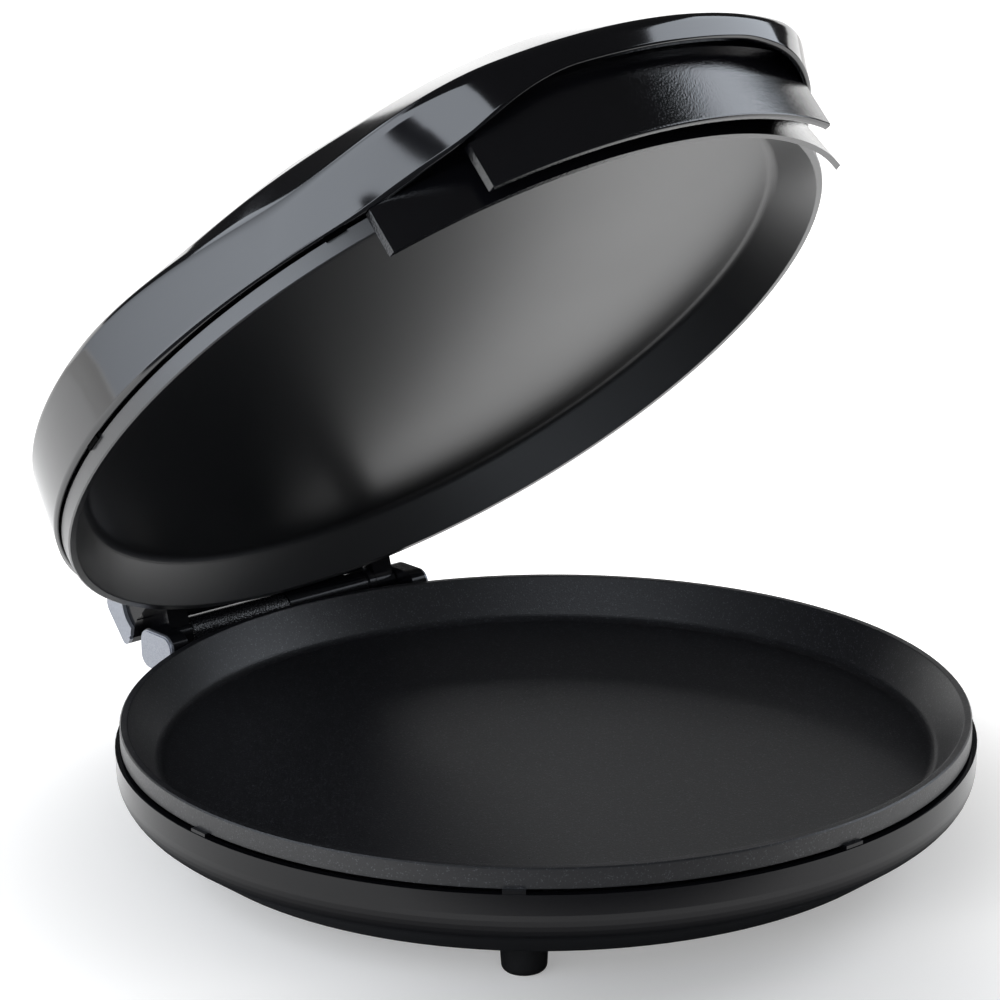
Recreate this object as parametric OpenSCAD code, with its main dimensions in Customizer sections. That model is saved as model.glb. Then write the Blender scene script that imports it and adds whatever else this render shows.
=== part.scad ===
// Electric pizza maker: two round non-stick pans that face each other, one in
// the base and one in the hinged lid. The table is z = 0 under the feet, the
// grip is at the front towards -Y and the hinge is at the back towards +Y.
// Lid pieces are drawn closed, above the lid's own rim plane, and then opened.

/* [Baking plates] */
// Outer radius of both plates
plate_r = 160; // [140:5:190]
// Depth of a pan below its rim
plate_depth = 16; // [12:1:22]
// Thickness of the cast wall and floor
plate_wall = 2.8; // [2.2:0.2:3.6]
// Width of the flat top of the rim
rim_w = 3; // [2:0.5:5]
// How far the side of a pan slopes in between rim and floor
side_slope = 10.5; // [5:0.5:16]
// Radius between the side and the floor of a pan
floor_fillet = 5; // [2:0.5:7]
// Height of the outer band of the lower plate
lower_band_h = 7.5; // [6:0.5:9]
// Height of the outer band of the upper plate
upper_band_h = 6.3; // [5.5:0.1:8]
// Gap between the two rims when the lid is closed
rim_gap = 0.6; // [0.4:0.1:1.2]

/* [Base housing] */
// Height of the feet
foot_h = 17; // [12:1:24]
// Radius of a foot at its top
foot_r = 9; // [7:0.5:12]
// Room between the bottom cover and a foot
foot_clear = 5; // [2:0.5:8]
// Room under the lower plate for the element and the wiring
lower_space = 19.2; // [18:0.2:26]
// How far the housing stands out past the plate
housing_out = 2; // [1.4:0.2:4]
// Wall thickness of the housing
housing_t = 2.6; // [2:0.2:3.2]
// Height of the housing's rounded underside
bowl_h = 21.5; // [19:0.5:25]
// Radius between the housing's wall and its underside
bowl_round = 14; // [10:1:16]
// Slope of the underside away from the vertical, in degrees
bowl_slope = 54; // [45:1:58]
// Dark gap between a plate's band and the edge of its shell
edge_gap = 1.4; // [1:0.1:2]
// Number of spacer tabs in that gap
tab_count = 8; // [4:1:12]
// Radius of the opening in the housing's floor
floor_open_r = 98; // [85:1:101]

/* [Lid cover] */
// Room above the upper plate
upper_space = 32.6; // [30:0.2:40]
// Wall thickness of the cover
cover_t = 2.6; // [2:0.2:3.2]
// How far the cover's edge stands out past the plate
cover_out = 1.8; // [1.6:0.1:3.5]
// How far the cover's wall leans in towards its top
wall_lean = 4; // [2:0.5:7]
// Height of the dome above the top of the wall
dome_rise = 15.7; // [12:0.5:20]

/* [Hood and grip] */
// How far the hood's lower edge reaches out past the cover's edge
hood_reach = 22.5; // [20:0.5:26]
// How far the hood's brow reaches out past the top of the wall
brow_reach = 28; // [26:0.5:31]
// How far the brow lies below the top of the wall
brow_drop = 12; // [10:0.5:13]
// Height of the arch in the hood's lower edge
arch_rise = 9.2; // [6:0.2:10]
// How far the hood lifts the front of the dome
hood_lift = 6.2; // [4:0.2:8]
// Distance from the plate's band to the grip lip
grip_out = 12.5; // [12:0.5:14]
// Thickness of the grip lip
grip_t = 3; // [2.4:0.2:3.2]
// How far the grip lip hangs below the lid's rim
grip_drop = 11; // [8:0.5:14]
// Half of the grip lip's arc, in degrees
grip_half_a = 27; // [22:1:27]
// How far the finger guard hangs below the lid's rim
guard_drop = 11.5; // [8:0.5:12]
// Thickness of the finger guard
guard_t = 2.3; // [1.8:0.1:2.6]
// Half of the finger guard's arc, in degrees
guard_half_a = 40; // [32:1:40]

/* [Hinge] */
// Angle that the lid stands open, in degrees
lid_open = 44.9; // [0:0.1:95]
// Distance of the hinge axis behind the plates' band
hinge_out = 6.5; // [6.5:0.1:9]
// Depth of the hinge axis below the lower rim
hinge_drop = 2.6; // [1.5:0.1:4]
// Radius of the hinge pins
pin_r = 2.5; // [2:0.1:3]
// Distance from the middle to the inner end of a knuckle
knuckle_x = 47.5; // [46:0.5:52]
// Length of a knuckle along the pin
knuckle_l = 9.7; // [8:0.1:12]
// Radius of a knuckle
knuckle_r = 6.2; // [5.6:0.1:6.6]
// Thickness of a hinge ear on the base
ear_t = 7; // [5:0.5:9]
// Depth of an ear from front to back
ear_w = 22; // [20:0.5:23]
// Height of an ear
ear_h = 16.6; // [15:0.2:18]
// Thickness of the silver caps
cap_t = 1.6; // [1:0.2:2.4]
// Outer radius of the wire guard on the base
guard_tube_r = 5.7; // [5.2:0.1:5.8]
// Outer radius of the wire guard on the lid
lid_tube_r = 6.1; // [5.6:0.1:6.2]
// Wall thickness of the wire guards
tube_t = 1.5; // [1.2:0.1:2]

/* [Heating] */
// Radius of the heating element's ring
element_ring_r = 88; // [75:1:92]
// Radius of the element's tube
element_r = 3.3; // [2.6:0.1:3.6]
// Distance of the plate screws from the middle
boss_pitch_r = 112; // [108:1:116]
// Thickness of the reflector sheets
sheet_t = 0.8; // [0.6:0.1:1.2]
// Distance of a reflector from the back of its plate
reflector_depth = 9.6; // [9:0.2:10.4]
// Radius of the thermostat
thermostat_r = 9; // [7:0.5:11]
// Height of the thermostat
thermostat_h = 7; // [5:0.5:8]

/* [Cord gland and lamps] */
// Radius of the gland's hole for the cord
gland_bore_r = 3.6; // [3:0.1:4.2]
// Radius of the gland where it passes the housing's wall
gland_r = 6; // [5.4:0.1:7]
// Height of the gland above the housing's floor
gland_z = 17; // [16:0.5:18]
// Radius of a lamp's lens
lens_r = 4; // [3:0.2:5]
// Distance between the two lamps
lamp_pitch = 28; // [20:1:40]
// Distance of the lamps from the middle of the lid
lamp_y = 112; // [95:1:118]

/* [Hidden] */

$fn = 96;
eps = 0.01;

// Clearances
seat_gap = 0.2;
loose_gap = 0.4;
pin_gap = 0.05;

// Heights of the base
rim_z = foot_h + lower_space + plate_wall + plate_depth;
floor_z = foot_h + housing_t;
housing_top_z = rim_z - lower_band_h - edge_gap;
housing_r = plate_r + housing_out;
lower_back_z = rim_z - plate_depth - plate_wall;

// Heights of the lid above its own rim plane
lid_h = plate_depth + plate_wall + upper_space + cover_t;
cover_edge_h = upper_band_h + edge_gap;
cover_r = plate_r + cover_out;
wall_top_h = lid_h - dome_rise;
upper_back_h = plate_depth + plate_wall;

// Hinge axis
hinge_y = plate_r + hinge_out;
hinge_z = rim_z - hinge_drop;
knuckle_end_x = knuckle_x + knuckle_l;
ear_x = knuckle_end_x + 0.6;
ear_end_x = ear_x + ear_t;
tube_end_x = knuckle_x - 0.9;

// Points on the rounded corner b of the line a-b-c
function unit(v) = v / norm(v);
function corner(a, b, c, r, n = 6) =
    let (
        u = unit(a - b),
        v = unit(c - b),
        half = acos(u * v) / 2,
        mid = b + unit(u + v) * r / sin(half),
        from = b + u * r / tan(half) - mid,
        to = b + v * r / tan(half) - mid,
        start = atan2(from[1], from[0]),
        raw = atan2(to[1], to[0]) - start,
        turn = raw > 180 ? raw - 360 : raw < -180 ? raw + 360 : raw
    )
    [for (i = [0:n]) mid + r * [cos(start + turn * i / n), sin(start + turn * i / n)]];

// Soft bend round the corner b, cut back by the same length on both sides
function bend(a, b, c, cut, n) =
    let (p = b + cut * unit(a - b), q = b + cut * unit(c - b))
    [for (i = [0:n]) let (s = i / n) p * (1 - s) * (1 - s) + b * 2 * s * (1 - s) + q * s * s];

// Moves a lid piece from the closed lid's rim plane to the opened lid
module in_lid() {
    translate([0, hinge_y, hinge_z])
        rotate([-lid_open, 0, 0])
            translate([0, -hinge_y, rim_z + rim_gap - hinge_z])
                children();
}

// Turns a piece so that what points to +X points to the angle a from the front
module at_angle(a) {
    rotate([0, 0, a - 90]) children();
}

// Revolves an outline over an arc that is centred on the front
module front_arc(half_a) {
    rotate([0, 0, -90 - half_a])
        rotate_extrude(angle = 2 * half_a, $fn = 180)
            children();
}

// Rounded outline from two corners
module rounded_box_2d(low, high, r) {
    size = high - low;
    translate(low) {
        translate([r, 0]) square([size[0] - 2 * r, size[1]]);
        translate([0, r]) square([size[0], size[1] - 2 * r]);
        for (x = [r, size[0] - r])
            for (y = [r, size[1] - r])
                translate([x, y]) circle(r = r);
    }
}

// Plate outline in the YZ plane, given as [y, z], with a thickness along X
module slab_x(x0, x1) {
    translate([x0, 0, 0])
        rotate([90, 0, 90])
            linear_extrude(height = x1 - x0)
                children();
}

// Round bar along X through the point [y, z]
module bar_x(x0, x1, r, y, z) {
    translate([x0, y, z]) rotate([0, 90, 0]) cylinder(r = r, h = x1 - x0);
}

// Pan-head screw whose head sits on z = 0 and points down to -Z
screw_r = 1.9;
screw_head_r = 3.6;
screw_head_h = 2.2;
module screw(length) {
    difference() {
        translate([0, 0, -screw_head_h]) cylinder(r = screw_head_r, h = screw_head_h, $fn = 32);
        for (a = [0, 90])
            rotate([0, 0, a])
                translate([-screw_head_r * 0.6, -0.4, -screw_head_h - eps])
                    cube([screw_head_r * 1.2, 0.8, 1.2]);
    }
    translate([0, 0, -eps]) cylinder(r = screw_r, h = length, $fn = 32);
}

// Baking plates. The outline has the rim on z = 0 and the pan below it
rim_inner_r = plate_r - rim_w;
band_t = 2.6;
rim_bevel = 0.5;
function side_r(z, out) =
    rim_inner_r + out * sqrt(1 + pow(side_slope / plate_depth, 2)) + z * side_slope / plate_depth;
module pan_outline(band_h) {
    floor_in = [0, -plate_depth];
    heel = [side_r(-plate_depth, 0), -plate_depth];
    back_z = -plate_depth - plate_wall;
    band_r = plate_r - band_t;
    band_in_z = (band_r - side_r(0, plate_wall)) * plate_depth / side_slope;
    polygon(concat(
        [
            [plate_r, -band_h],
            [plate_r, -rim_bevel],
            [plate_r - rim_bevel, 0]
        ],
        corner([plate_r, 0], [rim_inner_r, 0], heel, rim_bevel, 3),
        corner([rim_inner_r, 0], heel, floor_in, floor_fillet, 6),
        [
            floor_in,
            [0, back_z],
            [side_r(back_z, plate_wall), back_z],
            [band_r, band_in_z],
            [band_r, -band_h]
        ]
    ));
}

// Bosses on the back of a plate: four take the plate's screws, three the clips
boss_r = 5.5;
boss_core_r = 2;
shoulder_r = 7.5;
clip_boss_r = 4;
clip_boss_in = 13;
clip_angles = [-90, 60, 180];
clip_t = 1;
plate_boss_angles = [20, 110, 200, 290];
module pan(band_h, boss_l) {
    back_z = -plate_depth - plate_wall;
    difference() {
        union() {
            rotate_extrude($fn = 180) pan_outline(band_h);
            for (a = plate_boss_angles)
                at_angle(a) translate([boss_pitch_r, 0, back_z - boss_l])
                    cylinder(r = boss_r, h = boss_l + 1);
            for (a = plate_boss_angles)
                at_angle(a) translate([boss_pitch_r, 0, back_z - reflector_depth + sheet_t])
                    cylinder(r = shoulder_r, h = reflector_depth - sheet_t + 1);
            for (a = clip_angles)
                at_angle(a) translate([element_ring_r - clip_boss_in, 0, back_z - 2 * element_r])
                    cylinder(r = clip_boss_r, h = 2 * element_r + 1);
        }
        for (a = plate_boss_angles)
            at_angle(a) translate([boss_pitch_r, 0, back_z - boss_l - eps])
                cylinder(r = boss_core_r, h = 10);
    }
}

lower_boss_l = lower_space - housing_t;
module lower_baking_plate() {
    color([0.16, 0.16, 0.17])
        translate([0, 0, rim_z])
            pan(lower_band_h, lower_boss_l);
}

upper_boss_l = reflector_depth + 2;
module upper_baking_plate() {
    color([0.19, 0.19, 0.2]) in_lid() {
        mirror([0, 0, 1]) pan(upper_band_h, upper_boss_l);
        for (a = [1:tab_count - 1])
            at_angle(a * 360 / tab_count) spacer_tab(upper_band_h);
    }
}

// Tab that keeps a band and the edge of its shell apart
tab_w = 8;
tab_l = 3;
module spacer_tab(z) {
    translate([plate_r - tab_l + cover_out - 0.6, -tab_w / 2, z - 0.5])
        cube([tab_l, tab_w, edge_gap + 0.5]);
}

// Heating element: a tube bent to a ring, with both ends turned away from the plate
element_half_gap = 14;
element_leg_l = 7;
leg_angles = [180 - element_half_gap - 2, 180 + element_half_gap + 2];
module element(leg_l) {
    rotate([0, 0, 90 + element_half_gap])
        rotate_extrude(angle = 360 - 2 * element_half_gap)
            translate([element_ring_r, 0]) circle(r = element_r, $fn = 32);
    for (a = leg_angles)
        at_angle(a) translate([element_ring_r, 0, 0]) {
            translate([0, 0, -leg_l]) cylinder(r = element_r - 0.5, h = leg_l, $fn = 32);
            translate([0, 0, -leg_l - 4]) cylinder(r = 1.3, h = 5, $fn = 24);
        }
}

module lower_heating_element() {
    color([0.42, 0.4, 0.38])
        translate([0, 0, lower_back_z - element_r - seat_gap / 2])
            element(element_leg_l);
}

module upper_heating_element() {
    color([0.42, 0.4, 0.38]) in_lid()
        translate([0, 0, upper_back_h + element_r + seat_gap / 2])
            mirror([0, 0, 1]) element(element_leg_l);
}

// Clips: straps on the small bosses that press the element to the plate
clip_w = 12;
module clips() {
    for (a = clip_angles)
        at_angle(a) translate([element_ring_r - clip_boss_in - clip_w / 2, -clip_w / 2, 0])
            cube([clip_boss_in + clip_w / 2 + element_r, clip_w, clip_t]);
}

module lower_element_clips() {
    color([0.7, 0.7, 0.72])
        translate([0, 0, lower_back_z - 2 * element_r - clip_t - seat_gap])
            clips();
}

module upper_element_clips() {
    color([0.7, 0.7, 0.72]) in_lid()
        translate([0, 0, upper_back_h + 2 * element_r + seat_gap])
            clips();
}

// Reflector: a shallow sheet dish that hangs on the shoulders of the bosses
reflector_r = 128;
reflector_lip = 5;
module reflector() {
    difference() {
        rotate_extrude($fn = 120)
            polygon([
                [0, 0],
                [reflector_r, 0],
                [reflector_r + reflector_lip, reflector_lip],
                [reflector_r + reflector_lip, reflector_lip + sheet_t],
                [reflector_r - sheet_t / 2, sheet_t],
                [0, sheet_t]
            ]);
        for (a = plate_boss_angles)
            at_angle(a) translate([boss_pitch_r, 0, -eps])
                cylinder(r = boss_r + loose_gap, h = 4);
        for (a = leg_angles)
            at_angle(a) translate([element_ring_r, 0, -eps])
                cylinder(r = element_r + 1.5, h = 4);
    }
}

module lower_reflector() {
    color([0.78, 0.79, 0.8])
        translate([0, 0, lower_back_z - reflector_depth])
            reflector();
}

module upper_reflector() {
    color([0.78, 0.79, 0.8]) in_lid()
        translate([0, 0, upper_back_h + reflector_depth])
            mirror([0, 0, 1]) reflector();
}

// Screws that hold the plates. The lower ones come up through the housing's floor
module lower_plate_screws() {
    color([0.6, 0.6, 0.62])
        for (a = plate_boss_angles)
            at_angle(a) translate([boss_pitch_r, 0, foot_h]) screw(housing_t + 7);
}

module upper_plate_screws() {
    color([0.6, 0.6, 0.62]) in_lid()
        for (a = plate_boss_angles)
            at_angle(a) translate([boss_pitch_r, 0, upper_back_h + upper_boss_l + frame_t])
                mirror([0, 0, 1]) screw(frame_t + 7);
}

// Housing of the base: a moulded bowl. Its outline is the same curve at two depths
bowl_edge_z = foot_h + bowl_h;
function bowl_points(t) =
    let (
        mid = [housing_r - bowl_round, bowl_edge_z],
        last = mid + (bowl_round - t) * [cos(bowl_slope), -sin(bowl_slope)],
        base_z = foot_h + t,
        foot_edge = [last[0] - (last[1] - base_z) * tan(bowl_slope), base_z]
    )
    concat(
        [[housing_r - t, housing_top_z]],
        [for (i = [0:6]) let (a = bowl_slope * i / 6)
            mid + (bowl_round - t) * [cos(a), -sin(a)]],
        [foot_edge]
    );
function reversed(list) = [for (i = [len(list) - 1:-1:0]) list[i]];

module base_ear_outline() {
    low = [hinge_y + 4.7 - ear_w, hinge_z + 6 - ear_h];
    rounded_box_2d(low, low + [ear_w, ear_h], 5.5);
    // gusset that carries the ear down the outside of the bowl
    polygon([
        low + [-3, 3],
        low + [-3, -11],
        low + [0, -11],
        low + [12, 1],
        low + [12, 3]
    ]);
}

// Saddle behind the bowl that carries the base half of the wire guard
saddle_x0 = -38;
saddle_x1 = -11;
saddle_top_z = hinge_z - 8.5;
saddle_back_y = hinge_y + 4.5;
gland_hole_z = floor_z + gland_z;
module base_housing() {
    color([0.07, 0.07, 0.075])
        difference() {
            union() {
                rotate_extrude($fn = 180)
                    polygon(concat(
                        bowl_points(0),
                        [[floor_open_r, foot_h], [floor_open_r, floor_z]],
                        reversed(bowl_points(housing_t))
                    ));
                for (a = [0:tab_count - 1])
                    at_angle(a * 360 / tab_count)
                        translate([housing_r - housing_t - 0.8, -tab_w / 2, housing_top_z - 1.5])
                            cube([tab_l, tab_w, edge_gap + 1.5]);
                for (side = [0, 1]) mirror([side, 0, 0])
                    slab_x(ear_x, ear_end_x) base_ear_outline();
                slab_x(saddle_x0, saddle_x1)
                    polygon([
                        [housing_r - 3, saddle_top_z - 12],
                        [housing_r, saddle_top_z - 12],
                        [saddle_back_y, saddle_top_z - 5],
                        [saddle_back_y, saddle_top_z],
                        [housing_r - 3, saddle_top_z]
                    ]);
                // flat pad in the round wall for the gland
                translate([0, housing_r - gland_seat_t, gland_hole_z])
                    rotate([-90, 0, 0]) cylinder(r = gland_r + 3, h = gland_seat_t);
            }
            // inside of the bowl, clear of what was added outside
            rotate_extrude($fn = 180)
                polygon(concat(
                    [[0, housing_top_z + 5], [housing_r - housing_t - 1, housing_top_z + 5]],
                    [[housing_r - housing_t - 1, housing_top_z]],
                    [for (p = bowl_points(housing_t)) p - [eps, 0]],
                    [[0, floor_z]]
                ));
            for (side = [0, 1]) mirror([side, 0, 0])
                bar_x(ear_x - 1, ear_end_x + 1, pin_r + pin_gap, hinge_y, hinge_z);
            translate([0, housing_r - 10, gland_hole_z])
                rotate([-90, 0, 0]) cylinder(r = gland_r + 0.1, h = 20);
            for (a = plate_boss_angles)
                at_angle(a) translate([boss_pitch_r, 0, foot_h - 1])
                    cylinder(r = screw_r + 0.2, h = housing_t + 2);
            for (a = cover_screw_angles)
                at_angle(a) translate([cover_screw_pitch_r, 0, foot_h - 1])
                    cylinder(r = screw_r - 0.4, h = housing_t + 2);
        }
}

// Bottom cover: a steel disc under the opening, with vents
bottom_cover_t = 1.6;
cover_lap = 7;
cover_screw_pitch_r = floor_open_r + cover_lap / 2;
cover_screw_angles = [65, 155, 245, 335];
module bottom_cover() {
    color([0.12, 0.12, 0.125])
        translate([0, 0, foot_h - bottom_cover_t])
            difference() {
                cylinder(r = floor_open_r + cover_lap, h = bottom_cover_t, $fn = 180);
                for (a = cover_screw_angles)
                    at_angle(a) translate([cover_screw_pitch_r, 0, -1])
                        cylinder(r = screw_r + 0.2, h = 5);
                for (a = plate_boss_angles)
                    at_angle(a) translate([boss_pitch_r, 0, -1])
                        cylinder(r = screw_head_r + 1, h = 5);
                for (x = [-32:8:32])
                    translate([x - 1.5, -14, -1]) cube([3, 28, 5]);
            }
}

module bottom_cover_screws() {
    color([0.6, 0.6, 0.62])
        for (a = cover_screw_angles)
            at_angle(a) translate([cover_screw_pitch_r, 0, foot_h - bottom_cover_t])
                short_screw();
}
module short_screw() {
    translate([0, 0, -1.6]) cylinder(r = 3, h = 1.6, $fn = 32);
    translate([0, 0, -eps]) cylinder(r = screw_r - 0.4, h = bottom_cover_t + housing_t, $fn = 32);
}

// Feet: tapered posts with a rounded end
foot_pitch_r = floor_open_r + cover_lap + foot_clear + foot_r;
foot_taper = 1;
foot_round = 2.5;
module foot(x_side, y_side) {
    color([0.1, 0.1, 0.1])
        translate([x_side, y_side, 0] * foot_pitch_r / sqrt(2))
            rotate_extrude()
                polygon(concat(
                    [[0, 0]],
                    corner([0, 0], [foot_r - foot_taper, 0], [foot_r, foot_h], foot_round, 5),
                    [[foot_r, foot_h], [0, foot_h]]
                ));
}

// Thermostat and thermal fuse on the back of the lower plate
thermostat_x = -30;
module thermostat() {
    color([0.75, 0.72, 0.66])
        translate([thermostat_x, 0, lower_back_z - thermostat_h]) {
            cylinder(r = thermostat_r, h = thermostat_h);
            translate([-thermostat_r - 5, -4, thermostat_h - 1])
                cube([2 * thermostat_r + 10, 8, 1]);
            for (y = [-4, 2])
                translate([-3, y, -1.6]) cube([6, 2, 2]);
        }
}

fuse_r = 2.4;
module thermal_fuse() {
    color([0.88, 0.88, 0.86])
        translate([20, 0, lower_back_z - fuse_r - seat_gap / 2])
            rotate([90, 0, 0]) {
                translate([0, 0, -9]) cylinder(r = fuse_r, h = 18, $fn = 32);
                translate([0, 0, -15]) cylinder(r = 0.8, h = 30, $fn = 24);
            }
}

terminal_x = 34;
terminal_in = 4;
terminal_w = 30;
terminal_d = 14;
terminal_h = 6;
module terminal_block() {
    color([0.9, 0.9, 0.86])
        translate([terminal_x - terminal_w / 2, floor_open_r + terminal_in, floor_z])
            difference() {
                cube([terminal_w, terminal_d, terminal_h]);
                for (i = [0:2])
                    translate([5 + 10 * i, terminal_d / 2, 2])
                        cylinder(r = 2.4, h = terminal_h, $fn = 32);
            }
}

// Cord gland: a flanged bush pushed through the back wall
gland_flange_t = 2.5;
gland_flange_out = 2.5;
gland_seat_t = 4;
module cord_gland() {
    color([0.06, 0.06, 0.06])
        translate([0, housing_r, gland_hole_z])
            rotate([-90, 0, 0])
                difference() {
                    union() {
                        translate([0, 0, -2 * gland_seat_t])
                            cylinder(r = gland_r, h = 2 * gland_seat_t + gland_flange_t);
                        cylinder(r = gland_r + gland_flange_out, h = gland_flange_t);
                    }
                    translate([0, 0, -2 * gland_seat_t - 1])
                        cylinder(r = gland_bore_r, h = 2 * gland_seat_t + gland_flange_t + 2);
                }
}

// Hinge pins, pressed into the ears and turning in the knuckles
pin_end_x = ear_end_x - 0.2;
module hinge_pin() {
    color([0.72, 0.72, 0.74])
        bar_x(knuckle_x + 0.4, pin_end_x, pin_r, hinge_y, hinge_z);
}
module hinge_pin_left() {
    mirror([1, 0, 0]) hinge_pin();
}
module hinge_pin_right() {
    hinge_pin();
}

// Silver caps on the outside of the ears
module base_hinge_cap() {
    low = [hinge_y + 4.7 - ear_w, hinge_z + 6 - ear_h];
    color([0.72, 0.74, 0.76]) {
        slab_x(ear_end_x, ear_end_x + cap_t - 0.5)
            rounded_box_2d(low + [0.4, 0.4], low + [ear_w - 0.4, ear_h - 0.4], 5.2);
        slab_x(ear_end_x, ear_end_x + cap_t)
            rounded_box_2d(low + [1, 1], low + [ear_w - 1, ear_h - 1], 4.8);
    }
}
module base_hinge_cap_left() {
    mirror([1, 0, 0]) base_hinge_cap();
}
module base_hinge_cap_right() {
    base_hinge_cap();
}

// Wire guard, base half: a tube on the hinge axis with a foot on the saddle
guard_mid_x = 2;
module wire_guard_base() {
    color([0.06, 0.06, 0.065])
        difference() {
            union() {
                bar_x(-tube_end_x, guard_mid_x - 0.2, guard_tube_r, hinge_y, hinge_z);
                slab_x(saddle_x0 + 3, saddle_x1 - 3)
                    translate([hinge_y - 3, saddle_top_z])
                        square([6, hinge_z - saddle_top_z]);
                slab_x(-tube_end_x + 1, guard_mid_x - 1)
                    translate([hinge_y - guard_tube_r - 0.3, hinge_z - 1.4])
                        square([1.5, 0.8]);
            }
            bar_x(-tube_end_x - 1, guard_mid_x + 1, guard_tube_r - tube_t, hinge_y, hinge_z);
        }
}

// Wire guard, lid half: the same tube on a web that is screwed to the cover
web_x0 = 14;
web_x1 = 36;
web_half_t = 2.5;
web_reach = 16;
web_low_h = 11.5;
web_top_h = 27;
module wire_guard_lid() {
    color([0.06, 0.06, 0.065]) from_axis()
        difference() {
            union() {
                bar_x(guard_mid_x + 0.2, tube_end_x, lid_tube_r, 0, 0);
                bar_x(tube_end_x - 3, tube_end_x, lid_tube_r + 0.9, 0, 0);
                slab_x(web_x0, web_x1)
                    polygon([
                        [-web_half_t, 4],
                        [web_half_t, 4],
                        [web_half_t, web_top_h - 5],
                        [-web_reach, web_top_h],
                        [-web_reach, web_low_h],
                        [-web_half_t, web_low_h]
                    ]);
            }
            bar_x(guard_mid_x - 1, tube_end_x + 1, lid_tube_r - tube_t, 0, 0);
            cover_clearance();
            wall_screw_holes();
        }
}

// Hinge axis as the origin of a lid piece, Y to the back and Z up when closed
module from_axis() {
    translate([0, hinge_y, hinge_z]) rotate([-lid_open, 0, 0]) children();
}

// Space of the plain cover wall, seen from the hinge axis
module cover_clearance() {
    lift = rim_gap + hinge_drop;
    translate([0, -hinge_y, lift + cover_edge_h - 3])
        cylinder(r = cover_r + 0.05, h = 3, $fn = 180);
    translate([0, -hinge_y, lift + cover_edge_h - eps])
        cylinder(
            r1 = cover_r + 0.05,
            r2 = cover_r - wall_lean + 0.05,
            h = wall_top_h - cover_edge_h + 2,
            $fn = 180
        );
}

// Hinge bracket of the lid: knuckle, arm and the outer cheek that hides the ear
cheek_clear_r = 11;
cheek_end_x = ear_end_x;
module cheek_outline() {
    difference() {
        hull() {
            translate([11.6, 9.2]) circle(r = 2.4, $fn = 32);
            translate([7.5, 23]) circle(r = 5.4, $fn = 32);
            translate([-7, 33]) circle(r = 4.5, $fn = 32);
            translate([-24, 11.4]) square([2, 26]);
        }
        circle(r = cheek_clear_r);
        translate([-30, -20]) square([31, 31.2]);
    }
}
module lid_bracket() {
    color([0.05, 0.05, 0.055]) from_axis()
        difference() {
            union() {
                bar_x(knuckle_x, knuckle_end_x, knuckle_r, 0, 0);
                slab_x(knuckle_x, knuckle_end_x)
                    polygon([
                        [-knuckle_r + 0.6, 0],
                        [knuckle_r - 0.2, 0],
                        [8, 14],
                        [6, 26],
                        [-6, 36],
                        [-24, 36],
                        [-24, 11.4],
                        [-12, 11.4]
                    ]);
                slab_x(knuckle_end_x - 1, cheek_end_x) cheek_outline();
            }
            bar_x(knuckle_x - 1, knuckle_end_x + 0.3, pin_r + pin_gap, 0, 0);
            cover_clearance();
            wall_screw_holes();
        }
}
module lid_bracket_left() {
    mirror([1, 0, 0]) lid_bracket();
}
module lid_bracket_right() {
    lid_bracket();
}

// Silver cap on the cheek: a band that narrows towards its lower tip
module lid_hinge_cap() {
    color([0.72, 0.74, 0.76]) from_axis()
        slab_x(cheek_end_x, cheek_end_x + cap_t)
            intersection() {
                cheek_outline();
                difference() {
                    translate([0, 6]) square([20, 26]);
                    translate([-8.5, 12.5]) circle(r = 13.5);
                    translate([-6, -2]) square([15, 10]);
                }
            }
}
module lid_hinge_cap_left() {
    mirror([1, 0, 0]) lid_hinge_cap();
}
module lid_hinge_cap_right() {
    lid_hinge_cap();
}

// Screws through the cover's wall into the brackets and the guard's web
bracket_screw_h = [cover_edge_h + 7, cover_edge_h + 19];
bracket_screw_x = knuckle_x + 4;
web_screw_x = (web_x0 + web_x1) / 2;
wall_screw_l = 9;
function wall_r_at(h) = cover_r - wall_lean * (h - cover_edge_h) / (wall_top_h - cover_edge_h);
module at_wall_screws(x, heights) {
    for (h = heights)
        rotate([0, 0, -asin(x / cover_r)])
            translate([0, wall_r_at(h) - cover_t, h])
                rotate([-90, 0, 0]) children();
}
module every_wall_screw() {
    for (x = [-bracket_screw_x, bracket_screw_x])
        at_wall_screws(x, bracket_screw_h) children();
    at_wall_screws(web_screw_x, [bracket_screw_h[0]]) children();
}
wall_screw_r = 1.4;
wall_head_t = 1.6;
wall_head_gap = 0.7;
module wall_screw_holes() {
    translate([0, -hinge_y, rim_gap + hinge_drop])
        every_wall_screw()
            cylinder(r = wall_screw_r + pin_gap, h = cover_t + wall_screw_l, $fn = 32);
}
module bracket_screws() {
    color([0.6, 0.6, 0.62]) in_lid()
        every_wall_screw() {
            translate([0, 0, -wall_head_gap - wall_head_t])
                cylinder(r = 2 * wall_screw_r, h = wall_head_t, $fn = 32);
            translate([0, 0, -wall_head_gap - eps])
                cylinder(r = wall_screw_r, h = cover_t + wall_screw_l, $fn = 32);
        }
}

// Cover of the lid: wall, shoulder and dome, swelling at the front into the hood.
// A weight runs smoothly from 1 at one angle to 0 at another, both from the front.
function smooth(t) = let (c = max(0, min(1, t))) c * c * (3 - 2 * c);
function weight(a, full, none) = smooth((none - abs(a)) / (none - full));

// Angles from the front at which each part of the hood is full and has gone
edge_full_a = 18;
edge_none_a = 43;
arch_full_a = 12;
arch_none_a = 30;
brow_full_a = 21;
brow_none_a = 55;
drop_full_a = 38;
drop_none_a = 85;
ramp_full_a = 5;
ramp_none_a = 50;
rise_full_a = 8;
rise_none_a = 67;
lift_full_a = 37;
lift_none_a = 80;

// Ramp of the hood between its brow and the dome, from the middle and the top
dome_start_r = cover_r - 21.8;
dome_start_drop = 13.1;
ramp_in = 11.8;
ramp_drop = 14.8;
ramp_reach = 11;
ramp_rise = 5.7;

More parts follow.
